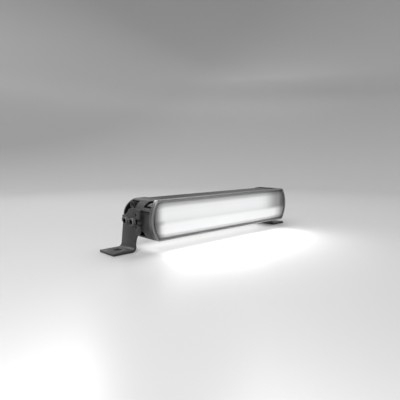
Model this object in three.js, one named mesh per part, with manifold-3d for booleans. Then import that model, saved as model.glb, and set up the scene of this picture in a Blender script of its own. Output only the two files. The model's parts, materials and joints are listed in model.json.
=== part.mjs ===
// LED light bar: a lit front lens in a dark frame, on a finned aluminium body with two cast end caps.
// Two bent steel brackets carry it, and it tilts between them on a pivot screw at each end.
// Millimetres, X along the bar, Y from the lit front to the finned back, Z up from the mounting surface.

import * as THREE from 'three';
import { mergeVertices } from 'three/addons/utils/BufferGeometryUtils.js';
import Module from 'manifold-3d';

const wasm = await Module();
wasm.setup();

// ---- driving dimensions ----
const barLength = 300; // over the bulged ends of the front frame
const barHeight = 56;
const midHeight = 45; // centre line of the bar above the mounting surface
const backCornerY = 46; // the flat top and bottom end here and the round back begins
const backFlatHalf = 4; // half the short flat in the middle of the round back
const endBulgeRadius = 44; // the short ends of the front are arcs
const frontCornerRadius = 6;
const overallDepth = 74.5; // front face to the tip of the cable gland
const gap = 0.3; // between pieces that touch

const capInnerX = 127.5; // where an end cap meets its gasket
const gasketThickness = 1.2;
const housingHalfLength = capInnerX - gasketThickness - 2 * gap;
const housingHalfHeight = 27; // the extrusion sits 1 mm below the end caps
const housingWall = 3.2;
const frameDepth = 7.5; // the front frame, front to back
const bodyFrontY = frameDepth + gap;
const ledFloorY = 34; // the seat of the LED boards
const ledFloorThickness = 5;
const chamberRearY = 53; // the driver chamber behind the LED floor
const chamberHalfHeight = 11;
const passageHalfHeight = 10; // the way for wires through the gaskets and caps, at the driver chamber
const farOut = 165; // past the end of the bar, for cuts that run right out of it

const pivotY = 35;
const pivotZ = 41.8;
const lockRadius = 16.2; // the clamp screw sits this far behind the pivot
const tiltUp = 30; // degrees, front edge up
const tiltDown = 25; // degrees, front edge down
const padFaceX = 152.7; // the face of the cap that the bracket turns against

const plateThickness = 3;
const plateInnerX = padFaceX + gap;
const plateOuterX = plateInnerX + plateThickness;
const footReach = 34; // from the outer face of the bracket's leg
const footFrontY = 32;
const footRearY = 67.5;
const footHoleRadius = 4.5; // for an M8 bolt
const footHoleOffset = 15.7; // middle of the slotted hole, from the leg's outer face
const footHoleY = 50.5;
const footHoleSlide = 1.3; // the slot's end centres sit this far to each side of its middle
const bendRadius = 5; // inside of the bend

const screwRadius = 3; // M6
const screwClearance = 0.4;
const screwSocketRadius = 2.9;
const screwSocketFloor = 0.9; // above the underside of the head
const screwHeadRadius = 4.8;
const screwHeadHeight = 3;
const washerRadius = 5.4;
const washerThickness = 0.8;

const capScrews = [['upper', 48, 63.2], ['lower', 48, 26.5]];
const capScrewRadius = 2.2;
const capScrewHeadRadius = 3.5;
const capScrewHeadHeight = 2.6;
const capScrewSocketRadius = 1.7;
const clampNutRadius = 4.7;
const clampNutThickness = 4;
const clampNutX = 144;
const pivotTipX = 140;

const boardThickness = 1.6;
const driverBoardY = 41.2;
const driverBoardHalf = 12;

const glandX = 0;
const glandSeatY = 56.5;
const glandPocketRadius = 12.5;
const glandThreadRadius = 6;
const cableRadius = 3.5; // the cable that the gland takes
const ventX = 48;
const ventPocketRadius = 9.5;
const ventThreadRadius = 4;
const ventHeadRadius = 7.5;

const halfHeight = barHeight / 2;
const degree = Math.PI / 180;

// ---- solids ----
function solid(geometry) {
  const bare = geometry.clone();
  bare.deleteAttribute('normal');
  bare.deleteAttribute('uv');
  const merged = mergeVertices(bare, 1e-4);
  return new wasm.Manifold(new wasm.Mesh({
    numProp: 3,
    vertProperties: new Float32Array(merged.attributes.position.array),
    triVerts: new Uint32Array(merged.index.array),
  }));
}

function geometryOf(body) {
  const mesh = body.getMesh();
  const geometry = new THREE.BufferGeometry();
  geometry.setAttribute('position', new THREE.BufferAttribute(mesh.vertProperties, 3));
  geometry.setIndex(new THREE.BufferAttribute(mesh.triVerts, 1));
  geometry.computeVertexNormals();
  return geometry;
}

function extrude(shape, length, segments) {
  return new THREE.ExtrudeGeometry(shape, { depth: length, bevelEnabled: false, curveSegments: segments });
}

// a (y, z) outline carried along X
function alongX(shape, fromX, toX, segments = 8) {
  const turn = new THREE.Matrix4().set(0, 0, 1, fromX, 1, 0, 0, 0, 0, 1, 0, 0, 0, 0, 0, 1);
  return solid(extrude(shape, toX - fromX, segments).applyMatrix4(turn));
}

// an (x, z) outline carried along Y
function alongY(shape, fromY, toY, segments = 5) {
  const turn = new THREE.Matrix4().set(1, 0, 0, 0, 0, 0, -1, toY, 0, 1, 0, 0, 0, 0, 0, 1);
  return solid(extrude(shape, toY - fromY, segments).applyMatrix4(turn));
}

// an (x, y) outline carried along Z
function alongZ(shape, fromZ, toZ, segments = 4) {
  return solid(extrude(shape, toZ - fromZ, segments).translate(0, 0, fromZ));
}

function block(fromX, toX, fromY, toY, fromZ, toZ) {
  const box = new THREE.BoxGeometry(toX - fromX, toY - fromY, toZ - fromZ);
  return solid(box.translate((fromX + toX) / 2, (fromY + toY) / 2, (fromZ + toZ) / 2));
}

function rodX(radius, fromX, toX, y, z, sides = 20) {
  const rod = new THREE.CylinderGeometry(radius, radius, toX - fromX, sides).rotateZ(-Math.PI / 2);
  return solid(rod.translate((fromX + toX) / 2, y, z));
}

function rodY(radius, fromY, toY, x, z, sides = 20) {
  const rod = new THREE.CylinderGeometry(radius, radius, toY - fromY, sides);
  return solid(rod.translate(x, (fromY + toY) / 2, z));
}

function rodZ(radius, fromZ, toZ, x, y, sides = 20) {
  const rod = new THREE.CylinderGeometry(radius, radius, toZ - fromZ, sides).rotateX(Math.PI / 2);
  return solid(rod.translate(x, y, (fromZ + toZ) / 2));
}

function polygon(points) {
  return new THREE.Shape(points.map(([a, b]) => new THREE.Vector2(a, b)));
}

// ---- outlines ----
// The front outline: flat top and bottom, arcs for the short ends, small round corners.
// inset shrinks it evenly all round.
function frontOutline(inset) {
  const corner = Math.max(frontCornerRadius - inset, 1.2);
  const end = endBulgeRadius - inset;
  const half = halfHeight - inset;
  const centreX = barLength / 2 - endBulgeRadius;
  const reach = Math.sqrt((end - corner) ** 2 - (half - corner) ** 2);
  const lean = Math.atan2(half - corner, reach);
  const cornerX = centreX + reach;
  const high = midHeight + half - corner;
  const low = midHeight - half + corner;
  const shape = new THREE.Shape();
  shape.absarc(centreX, midHeight, end, -lean, lean, false);
  shape.absarc(cornerX, high, corner, lean, Math.PI / 2, false);
  shape.absarc(-cornerX, high, corner, Math.PI / 2, Math.PI - lean, false);
  shape.absarc(-centreX, midHeight, end, Math.PI - lean, Math.PI + lean, false);
  shape.absarc(-cornerX, low, corner, Math.PI + lean, 1.5 * Math.PI, false);
  shape.absarc(cornerX, low, corner, 1.5 * Math.PI, 2 * Math.PI - lean, false);
  return shape;
}

// The side outline: a flat front, flat top and bottom, and a round back with a short flat in its middle.
function sideOutline(half, frontY) {
  const radius = half - backFlatHalf;
  const shape = new THREE.Shape();
  shape.moveTo(frontY, midHeight - half);
  shape.lineTo(backCornerY, midHeight - half);
  shape.absarc(backCornerY, midHeight - backFlatHalf, radius, -Math.PI / 2, 0, false);
  shape.absarc(backCornerY, midHeight + backFlatHalf, radius, 0, Math.PI / 2, false);
  shape.lineTo(frontY, midHeight + half);
  shape.closePath();
  return shape;
}

function frontRing(outerInset, innerInset, fromY, toY) {
  const inner = alongY(frontOutline(innerInset), fromY - 1, toY + 1);
  return alongY(frontOutline(outerInset), fromY, toY).subtract(inner);
}

// A band of a ring round the pivot, in the side view; zero degrees points straight back.
function pivotBand(innerRadius, outerRadius, fromDegrees, toDegrees) {
  const shape = new THREE.Shape();
  shape.absarc(pivotY, pivotZ, outerRadius, fromDegrees * degree, toDegrees * degree, false);
  shape.absarc(pivotY, pivotZ, innerRadius, toDegrees * degree, fromDegrees * degree, true);
  shape.closePath();
  return shape;
}

function lockPoint(degrees) {
  const y = pivotY + lockRadius * Math.cos(degrees * degree);
  const z = pivotZ + lockRadius * Math.sin(degrees * degree);
  return [y, z];
}

// A curved slot round the pivot with round ends, cut from fromX to toX.
function curvedSlot(halfWidth, fromDegrees, toDegrees, fromX, toX) {
  const band = pivotBand(lockRadius - halfWidth, lockRadius + halfWidth, fromDegrees, toDegrees);
  const first = rodX(halfWidth, fromX, toX, ...lockPoint(fromDegrees));
  const last = rodX(halfWidth, fromX, toX, ...lockPoint(toDegrees));
  return alongX(band, fromX, toX, 6).add(first).add(last);
}

// ---- finned body ----
const finPitch = 5.8;
const finSlot = 3.4;
const finRows = 4; // slots above the middle, and as many below
const finRootY = 57;
const outerFinRootY = 54;
const screwPortDepth = 17;
const boardGrooveDepth = 1.4;

function makeHousing() {
  let body = alongX(sideOutline(housingHalfHeight, bodyFrontY), -housingHalfLength, housingHalfLength, 8);
  const past = housingHalfLength + 5;
  const behind = overallDepth + 5;
  const cavityHalf = housingHalfHeight - housingWall;
  body = body.subtract(block(-past, past, 0, ledFloorY, midHeight - cavityHalf, midHeight + cavityHalf));
  body = body.subtract(block(-past, past, ledFloorY + ledFloorThickness, chamberRearY,
    midHeight - chamberHalfHeight, midHeight + chamberHalfHeight));
  // two grooves in the chamber walls hold the edges of the driver board
  const grooveHalf = chamberHalfHeight + boardGrooveDepth;
  body = body.subtract(block(-past, past, driverBoardY - gap, driverBoardY + boardThickness + gap,
    midHeight - grooveHalf, midHeight + grooveHalf));
  // cooling fins: level slots along the whole back
  for (let row = 0; row < finRows; row += 1) {
    const root = row < finRows - 1 ? finRootY : outerFinRootY;
    for (const side of [-1, 1]) {
      const z = midHeight + side * finPitch * (row + 0.5);
      body = body.subtract(block(-past, past, root, behind, z - finSlot / 2, z + finSlot / 2));
    }
  }
  // round flats milled through the fins for the cable gland and the vent, each with its threaded hole
  for (const [x, flatRadius, threadRadius] of [[glandX, glandPocketRadius, glandThreadRadius],
    [ventX, ventPocketRadius, ventThreadRadius]]) {
    body = body.subtract(rodY(flatRadius, glandSeatY, behind, x, midHeight, 28));
    body = body.subtract(rodY(threadRadius + gap, chamberRearY - 2, glandSeatY + 2, x, midHeight));
  }
  // ports for the end cap screws
  for (const [, y, z] of capScrews) {
    for (const side of [-1, 1]) {
      const deep = side * (housingHalfLength - screwPortDepth);
      const out = side * past;
      body = body.subtract(rodX(capScrewRadius + gap, Math.min(deep, out), Math.max(deep, out), y, z, 16));
    }
  }
  return body;
}

// ---- end cap, right-hand side ----
const capPocketFloorX = 134;
const capSideRim = 2.2; // wall round the back, outside the pockets
const capTopRim = 3.8; // wall above and below them
const scoopFloorX = 145.5;
const scoopEdgeX = 151;
const scoopLowZ = 31.5;
const scoopHighZ = 57;
const bossRadius = 5.2;
const bossEndX = 149;
const bossSeatDepth = 5;
const pivotPadRadius = 8;
const clampPadInner = 9; // the clamp pad is a band of a ring round the pivot
const clampPadOuter = 22.5;
const capHollowEndX = 137.5;
const capHollowHalf = 23.4;
const capHollowRearY = 30;
const upperPocket = [[36, 71], [40.5, 66.5], [45.5, 57.4], [49.5, 53.2], [57, 49], [80, 49], [80, 80],
  [36, 80]];
const lowerPocket = [[26, 10], [80, 10], [80, 37], [57, 37], [49, 32.5], [42, 30.5], [26, 27.5]];

// The notch at each upper front corner is an arc in the side view, and a smaller round lug of the frame
// sits in it.
const notchY = 11;
const notchZ = 57;
const notchRadius = 14;
const lugY = 8.5;
const lugRadius = 11.8;
const notchInset = 3.6;
const notchLowZ = 61.5;
const lugLowZ = 62.5;
const lugInset = 0.3;
const lugThickness = 2.2;
const lugInnerX = 137.5;

function cornerNotch() {
  const above = block(lugInnerX - 1.5, farOut, 0, 40, notchLowZ, 80);
  const round = rodX(notchRadius, 130, farOut, notchY, notchZ, 32);
  return above.intersect(round).subtract(alongY(frontOutline(notchInset), -5, 45));
}

function makeEndCap() {
  const wide = alongY(frontOutline(0), bodyFrontY, 80, 6);
  let body = wide.intersect(alongX(sideOutline(halfHeight, bodyFrontY), capInnerX, 160, 8));

  // front hollow behind the lens, and shallow room for the wires from the driver chamber
  body = body.subtract(block(capInnerX - 5, capHollowEndX, 0, capHollowRearY,
    midHeight - capHollowHalf, midHeight + capHollowHalf));
  body = body.subtract(block(capInnerX - 5, capInnerX + 4.5, 26, chamberRearY - 1,
    midHeight - passageHalfHeight, midHeight + passageHalfHeight));

  // crescent pockets above and below, inside the rim of the round back
  const rimHalf = halfHeight - capTopRim;
  const insideRim = alongX(sideOutline(halfHeight - capSideRim, 0), capPocketFloorX, farOut, 8)
    .intersect(block(capPocketFloorX, farOut, 0, 80, midHeight - rimHalf, midHeight + rimHalf));
  for (const outline of [upperPocket, lowerPocket]) {
    body = body.subtract(alongX(polygon(outline), capPocketFloorX, farOut).intersect(insideRim));
  }

  // hollowed side between the pockets, easing out to the front edge
  const scoop = new THREE.Shape();
  scoop.moveTo(farOut, 2);
  scoop.lineTo(scoopEdgeX, 2);
  scoop.quadraticCurveTo(scoopFloorX, 6, scoopFloorX, 22);
  scoop.lineTo(scoopFloorX, 46);
  scoop.lineTo(farOut, 46);
  scoop.closePath();
  body = body.subtract(alongZ(scoop, scoopLowZ, scoopHighZ));

  // pads that the bracket plate turns against: round the pivot, round the clamp slot, and back to the rim
  const padRootX = capPocketFloorX - 0.5;
  body = body.add(rodX(pivotPadRadius, scoopFloorX - 2, padFaceX, pivotY, pivotZ, 28));
  const clampPad = alongX(pivotBand(clampPadInner, clampPadOuter, -tiltDown - 15, tiltUp + 15), padRootX,
    padFaceX, 6);
  const spine = block(padRootX, padFaceX - 0.4, 45, 75, 37, 47.5);
  const behind = alongX(sideOutline(halfHeight - 0.6, 0), 120, farOut, 8);
  body = body.add(clampPad.add(spine).intersect(behind));

  // bosses of the cap screws stand in the pockets, each on a rib
  for (const [, y, z] of capScrews) {
    const inward = z > midHeight ? -1 : 1;
    const rib = block(padRootX, bossEndX - 4, y - 1.2, y + 1.2, Math.min(z, z + inward * 9),
      Math.max(z, z + inward * 9));
    body = body.add(rodX(bossRadius, padRootX, bossEndX, y, z).add(rib));
    body = body.subtract(rodX(capScrewHeadRadius + screwClearance, bossEndX - bossSeatDepth, farOut, y, z));
    body = body.subtract(rodX(capScrewRadius + screwClearance, 120, farOut, y, z, 16));
  }

  // pivot bore, clamp slot and the wider groove behind it, which runs out into the upper pocket
  body = body.subtract(rodX(screwRadius + screwClearance, pivotTipX - 1, farOut, pivotY, pivotZ));
  body = body.subtract(curvedSlot(screwRadius + 0.6, -tiltDown - 1, tiltUp + 1, 142, farOut));
  body = body.subtract(curvedSlot(clampNutRadius + 0.5, -tiltDown - 1, tiltUp + 14, clampNutX - 1.2,
    clampNutX + clampNutThickness + 0.5));
  return body.subtract(cornerNotch());
}

// ---- seals ----
function makeEndGasket() {
  const fromX = housingHalfLength + gap;
  const toX = fromX + gasketThickness;
  const cavityHalf = housingHalfHeight - housingWall + 0.2;
  let body = alongX(sideOutline(housingHalfHeight - 0.6, bodyFrontY + 0.6), fromX, toX, 6);
  body = body.subtract(block(fromX - 1, toX + 1, 0, ledFloorY, midHeight - cavityHalf,
    midHeight + cavityHalf));
  body = body.subtract(block(fromX - 1, toX + 1, ledFloorY + ledFloorThickness, chamberRearY - 1,
    midHeight - passageHalfHeight, midHeight + passageHalfHeight));
  for (const [, y, z] of capScrews) {
    body = body.subtract(rodX(capScrewRadius + 0.5, fromX - 1, toX + 1, y, z, 16));
  }
  return body;
}

function makeLensSeal() {
  return frontRing(1.5, 4.2, 6, frameDepth);
}

// ---- front frame and lens ----
const lipWidth = 2.6;
const lipDepth = 3;
const skirtThickness = 1.2;
const lensInset = 4.8;
const lensFlangeInset = 1.5;

// a lip round the lens with a skirt behind it, and a lug at each upper corner that reaches back into its
// end cap
function makeFrontFrame() {
  const lip = frontRing(0, lipWidth, 0, lipDepth);
  let body = lip.add(frontRing(0, skirtThickness, lipDepth - 0.1, frameDepth));
  const lugEnd = lugY + lugRadius + 1;
  const shell = frontRing(lugInset, skirtThickness, frameDepth - 1, lugEnd)
    .add(frontRing(lugInset, lugInset + lugThickness, bodyFrontY, lugEnd));
  const arc = rodX(lugRadius, -farOut, farOut, lugY, notchZ, 32);
  for (const [nearX, farX] of [[-farOut, -lugInnerX], [lugInnerX, farOut]]) {
    const corner = block(nearX, farX, 0, lugEnd, lugLowZ, 80);
    body = body.add(shell.intersect(corner).intersect(arc));
  }
  return body;
}

function makeLens() {
  const face = alongY(frontOutline(lensInset), 0.8, 3.5);
  const flange = alongY(frontOutline(lensFlangeInset), 3.3, 5.7);
  return face.add(flange);
}

// ---- light engine ----
const rowOffset = 11.6; // each row's centre line from the middle
const reflectorHalfLength = 123.5;
const ledBoardHalfLength = 121;
const ledBoardHalfHeight = 8;
const ledHalf = 1.8;
const ledHeight = 1.1;
const ledCount = 10;
const padThickness = 0.8;

// A trough that narrows from the lens down to the row of LEDs, closed at both ends.
function makeReflector(rowZ) {
  const frontHalf = 11.2;
  const backHalf = 4.2;
  const wall = 1.4;
  const frontY = bodyFrontY + 0.8;
  const backY = ledFloorY - 3.4;
  const outer = polygon([[frontY, rowZ - frontHalf], [backY, rowZ - backHalf - wall],
    [backY, rowZ + backHalf + wall], [frontY, rowZ + frontHalf]]);
  const inner = polygon([[frontY - 1, rowZ - frontHalf + wall], [frontY + 2, rowZ - frontHalf + wall],
    [backY + 1, rowZ - backHalf], [backY + 1, rowZ + backHalf], [frontY + 2, rowZ + frontHalf - wall],
    [frontY - 1, rowZ + frontHalf - wall]]);
  const shell = alongX(outer, -reflectorHalfLength, reflectorHalfLength);
  return shell.subtract(alongX(inner, -reflectorHalfLength + wall, reflectorHalfLength - wall));
}

function makeLedBoard(rowZ) {
  const backY = ledFloorY - 2 * gap - padThickness;
  const frontY = backY - boardThickness;
  let body = block(-ledBoardHalfLength, ledBoardHalfLength, frontY, backY, rowZ - ledBoardHalfHeight,
    rowZ + ledBoardHalfHeight);
  const spacing = 2 * ledBoardHalfLength / ledCount;
  for (let index = 0; index < ledCount; index += 1) {
    const x = (index - (ledCount - 1) / 2) * spacing;
    body = body.add(block(x - ledHalf, x + ledHalf, frontY - ledHeight, frontY + 0.5, rowZ - ledHalf,
      rowZ + ledHalf));
  }
  return body;
}

function makeThermalPad() {
  const backY = ledFloorY - gap;
  return block(-122, 122, backY - padThickness, backY, midHeight - 21, midHeight + 21);
}

// the driver board with its coil, three capacitors, a connector and a chip
function makeDriverBoard() {
  const rearY = driverBoardY + boardThickness;
  const footY = rearY - 0.5; // each part is sunk a little into the board, so that they are one solid
  let body = block(14, 116, driverBoardY, rearY, midHeight - driverBoardHalf, midHeight + driverBoardHalf);
  body = body.add(rodY(6.5, footY, rearY + 6.5, 34, midHeight));
  for (const x of [62, 72, 82]) {
    body = body.add(rodY(3.6, footY, rearY + 7, x, midHeight + 3, 16));
  }
  body = body.add(block(94, 110, footY, rearY + 5, midHeight - 6, midHeight + 6));
  return body.add(block(60, 74, footY, rearY + 2, midHeight - 8, midHeight - 3));
}

// ---- cable gland and vent on the back ----
const glandBore = 4.2;
const glandHexRadius = 9.2; // over the corners
const glandNeckRadius = 6.8;
const glandSealSeatY = 63.5;

function makeGlandBody() {
  let body = rodY(glandHexRadius, glandSeatY + gap, 60.5, glandX, midHeight, 6);
  body = body.add(rodY(glandThreadRadius, 49.6, glandSeatY + 1, glandX, midHeight));
  body = body.add(rodY(glandNeckRadius, 60, 67.5, glandX, midHeight));
  body = body.subtract(rodY(glandBore, 40, 80, glandX, midHeight));
  return body.subtract(rodY(5.6, glandSealSeatY, 80, glandX, midHeight));
}

function makeGlandSeal() {
  const ring = rodY(5.3, glandSealSeatY + gap, 69, glandX, midHeight);
  return ring.subtract(rodY(cableRadius + 0.1, 60, 80, glandX, midHeight));
}

function makeGlandDomeNut() {
  const profile = [[7.1, 60.8], [9, 60.8], [9, 69.5], [8.4, 72.2], [6.6, overallDepth], [4.4, overallDepth],
    [4.4, 69.6], [7.1, 67.9], [7.1, 60.8]];
  const points = profile.map(([radius, y]) => new THREE.Vector2(radius, y));
  const nut = new THREE.LatheGeometry(points, 24);
  return solid(nut.translate(glandX, 0, midHeight));
}

function makeGlandLockNut() {
  const nut = rodY(9, 49.8, chamberRearY - gap, glandX, midHeight, 6);
  return nut.subtract(rodY(glandThreadRadius + gap, 40, 60, glandX, midHeight));
}

function makeVentPlug() {
  const seatY = glandSeatY + gap;
  const profile = [[0, 51], [ventThreadRadius, 51], [ventThreadRadius, seatY], [ventHeadRadius, seatY],
    [ventHeadRadius, 60], [6.4, 61.8], [0, 62.4]];
  const points = profile.map(([radius, y]) => new THREE.Vector2(radius, y));
  return solid(new THREE.LatheGeometry(points, 24).translate(ventX, 0, midHeight));
}

// ---- bracket, right-hand side ----
// The plate's side view: a leg that leans back to the foot, a fan round the pivot, and a mouth open to the
// front that hooks over the pivot screw.
const mouthHalf = screwRadius + screwClearance;
const fanFrontY = 20.5;
const fanTopZ = 60;
const indexHoles = [[29.8, 51.2], [29.2, 34.5]];
const indexHoleRadius = 1.9;

function plateOutline() {
  const shape = new THREE.Shape();
  shape.moveTo(footFrontY, -5);
  shape.lineTo(footRearY, -5);
  shape.lineTo(footRearY, 6);
  shape.lineTo(62, 38);
  shape.lineTo(65, 40.5);
  shape.lineTo(64.6, 44);
  shape.lineTo(56.4, 48.4);
  shape.lineTo(45.2, 58.2);
  shape.quadraticCurveTo(43, fanTopZ, 40, fanTopZ);
  shape.lineTo(25, fanTopZ);
  shape.quadraticCurveTo(fanFrontY, fanTopZ, fanFrontY, 55.5);
  shape.lineTo(fanFrontY, pivotZ + 4.8);
  shape.lineTo(pivotY - 6, pivotZ + mouthHalf);
  shape.lineTo(pivotY, pivotZ + mouthHalf);
  shape.absarc(pivotY, pivotZ, mouthHalf, Math.PI / 2, -Math.PI / 2, true);
  shape.lineTo(pivotY - 6, pivotZ - mouthHalf);
  shape.lineTo(fanFrontY, pivotZ - 4.8);
  shape.lineTo(fanFrontY, 32);
  shape.quadraticCurveTo(21.5, 27, 26, 24.3);
  shape.quadraticCurveTo(31.4, 21, 32.6, 15);
  shape.lineTo(34, 9);
  shape.lineTo(footFrontY + 0.6, 5);
  shape.lineTo(footFrontY, 2);
  shape.closePath();
  return shape;
}

// The bent strip seen from the front: leg down, round the bend, foot out.
function bentStrip() {
  const outer = bendRadius + plateThickness;
  const bendX = plateOuterX + bendRadius;
  const bendZ = outer;
  const shape = new THREE.Shape();
  shape.moveTo(plateInnerX, 80);
  shape.lineTo(plateInnerX, bendZ);
  shape.absarc(bendX, bendZ, outer, Math.PI, 1.5 * Math.PI, false);
  shape.lineTo(plateOuterX + footReach, 0);
  shape.lineTo(plateOuterX + footReach, plateThickness);
  shape.lineTo(bendX, plateThickness);
  shape.absarc(bendX, bendZ, bendRadius, 1.5 * Math.PI, Math.PI, true);
  shape.lineTo(plateOuterX, 80);
  shape.closePath();
  return shape;
}

function makeBracket() {
  let body = alongY(bentStrip(), 0, 80, 5);
  body = body.intersect(alongX(plateOutline(), 100, 250, 5));
  body = body.subtract(rodX(screwRadius + screwClearance, 150, 160, ...lockPoint(0)));
  for (const [y, z] of indexHoles) {
    body = body.subtract(rodX(indexHoleRadius, 150, 160, y, z, 16));
  }
  const holeX = plateOuterX + footHoleOffset;
  const nearX = holeX - footHoleSlide;
  const farX = holeX + footHoleSlide;
  const nearEnd = rodZ(footHoleRadius, -2, 8, nearX, footHoleY);
  const farEnd = rodZ(footHoleRadius, -2, 8, farX, footHoleY);
  const middle = block(nearX, farX, footHoleY - footHoleRadius, footHoleY + footHoleRadius, -2, 8);
  return body.subtract(nearEnd.add(farEnd).add(middle));
}

// ---- fasteners, right-hand side ----
const washerX = plateOuterX + gap;
const headX = washerX + washerThickness + gap;

function makeWasher(y, z) {
  const disc = rodX(washerRadius, washerX, washerX + washerThickness, y, z);
  return disc.subtract(rodX(screwRadius + gap, 150, 165, y, z));
}

// A socket-head screw with its shank reaching in to tipX.
function makeSocketScrew(y, z, tipX) {
  let body = rodX(screwRadius, tipX, headX + 0.5, y, z);
  body = body.add(rodX(screwHeadRadius, headX, headX + screwHeadHeight, y, z));
  return body.subtract(rodX(screwSocketRadius, headX + screwSocketFloor, headX + 5, y, z, 6));
}

function makeClampNut() {
  const [y, z] = lockPoint(0);
  const ring = rodX(clampNutRadius, clampNutX, clampNutX + clampNutThickness, y, z);
  return ring.subtract(rodX(screwRadius + gap, 140, 150, y, z));
}

function makeCapScrew(y, z) {
  const seatX = bossEndX - bossSeatDepth + gap;
  let body = rodX(capScrewRadius, housingHalfLength - screwPortDepth + 2, seatX + 0.5, y, z, 16);
  body = body.add(rodX(capScrewHeadRadius, seatX, seatX + capScrewHeadHeight, y, z));
  return body.subtract(rodX(capScrewSocketRadius, seatX + 1, seatX + 5, y, z, 6));
}

// ---- finishes ----
const finishes = {
  body: { color: 0x3a3b3d, roughness: 0.5, metalness: 0.6 },
  cap: { color: 0x404144, roughness: 0.55, metalness: 0.5 },
  frame: { color: 0x55565a, roughness: 0.3, metalness: 0.3 },
  lens: { color: 0xf4f6fb, roughness: 0.35, metalness: 0 },
  bracket: { color: 0x37383a, roughness: 0.6, metalness: 0.5 },
  screw: { color: 0x5a5b5d, roughness: 0.4, metalness: 0.8 },
  rubber: { color: 0x161617, roughness: 0.85, metalness: 0 },
  mirror: { color: 0xd8d9dc, roughness: 0.15, metalness: 0.9 },
  board: { color: 0xe9e9e4, roughness: 0.5, metalness: 0.1 },
  pad: { color: 0x9aa4b0, roughness: 0.8, metalness: 0 },
  driver: { color: 0x1f5a3a, roughness: 0.5, metalness: 0.1 },
  plastic: { color: 0x1b1b1c, roughness: 0.6, metalness: 0 },
};

const bar = new THREE.Group();
bar.position.y = -overallDepth / 2;

function place(name, body, finish) {
  const mesh = new THREE.Mesh(geometryOf(body), new THREE.MeshStandardMaterial(finishes[finish]));
  mesh.name = name;
  bar.add(mesh);
  return mesh;
}

// A right-hand piece and its mirrored left-hand twin.
function placePair(name, body, finish) {
  place(`${name}_right`, body, finish);
  place(`${name}_left`, body, finish).scale.x = -1;
}

place('housing', makeHousing(), 'body');
placePair('end_cap', makeEndCap(), 'cap');
placePair('end_gasket', makeEndGasket(), 'rubber');
place('front_frame', makeFrontFrame(), 'frame');
place('lens', makeLens(), 'lens');
place('lens_seal', makeLensSeal(), 'rubber');
for (const [name, rowZ] of [['upper', midHeight + rowOffset], ['lower', midHeight - rowOffset]]) {
  place(`reflector_${name}`, makeReflector(rowZ), 'mirror');
  place(`led_board_${name}`, makeLedBoard(rowZ), 'board');
}
place('thermal_pad', makeThermalPad(), 'pad');
place('driver_board', makeDriverBoard(), 'driver');
place('gland_body', makeGlandBody(), 'plastic');
place('gland_seal', makeGlandSeal(), 'rubber');
place('gland_dome_nut', makeGlandDomeNut(), 'plastic');
place('gland_lock_nut', makeGlandLockNut(), 'plastic');
place('vent_plug', makeVentPlug(), 'plastic');
for (const [name, y, z] of capScrews) {
  placePair(`cap_screw_${name}`, makeCapScrew(y, z), 'screw');
}
placePair('bracket', makeBracket(), 'bracket');
placePair('pivot_screw', makeSocketScrew(pivotY, pivotZ, pivotTipX), 'screw');
placePair('pivot_washer', makeWasher(pivotY, pivotZ), 'screw');
placePair('clamp_screw', makeSocketScrew(...lockPoint(0), clampNutX - 0.6), 'screw');
placePair('clamp_washer', makeWasher(...lockPoint(0)), 'screw');
placePair('clamp_nut', makeClampNut(), 'screw');

export default bar;
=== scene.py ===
import json
import math

import bmesh
import bpy
import numpy as np
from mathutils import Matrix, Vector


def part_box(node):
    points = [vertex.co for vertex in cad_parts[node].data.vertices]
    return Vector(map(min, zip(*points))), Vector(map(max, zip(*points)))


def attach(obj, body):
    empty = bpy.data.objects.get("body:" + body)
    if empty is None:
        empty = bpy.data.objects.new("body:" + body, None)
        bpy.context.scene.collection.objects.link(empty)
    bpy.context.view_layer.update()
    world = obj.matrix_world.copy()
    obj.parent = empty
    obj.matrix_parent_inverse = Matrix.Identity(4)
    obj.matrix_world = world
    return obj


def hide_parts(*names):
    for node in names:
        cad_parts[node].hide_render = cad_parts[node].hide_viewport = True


# LED light bar on two bent steel brackets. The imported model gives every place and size.
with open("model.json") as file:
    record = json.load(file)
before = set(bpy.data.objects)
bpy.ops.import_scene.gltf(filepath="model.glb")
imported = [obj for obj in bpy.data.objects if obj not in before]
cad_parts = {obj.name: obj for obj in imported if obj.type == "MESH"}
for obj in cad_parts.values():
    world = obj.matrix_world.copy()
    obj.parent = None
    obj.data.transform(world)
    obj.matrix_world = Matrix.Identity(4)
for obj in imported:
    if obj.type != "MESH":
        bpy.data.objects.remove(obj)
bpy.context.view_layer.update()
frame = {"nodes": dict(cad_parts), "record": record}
nodes = frame["nodes"]
scene = bpy.context.scene
mm = 0.001
perMetre = 1000      # millimetres in a metre, for the shaders
frontLow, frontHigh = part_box("front_frame")
print("frame loaded:", len(nodes), "nodes")


# camera, at the left front end of the bar, a little above it
cameraPlan = {
    "place": (-0.4368, -0.4358, 0.1291),
    "heading": 43.0,      # degrees from the bar's own forward axis
    "dip": 6.45,          # degrees below level
    "lens": 34.13,
    "sensor": 36.0,
}


def addCamera(plan):
    data = bpy.data.cameras.new("camera")
    data.lens = plan["lens"]
    data.sensor_width = plan["sensor"]
    data.clip_start = 0.01
    camera = bpy.data.objects.new("camera", data)
    camera.location = plan["place"]
    camera.rotation_euler = (math.radians(90 - plan["dip"]), 0, -math.radians(plan["heading"]))
    scene.collection.objects.link(camera)
    scene.camera = camera


addCamera(cameraPlan)


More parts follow.
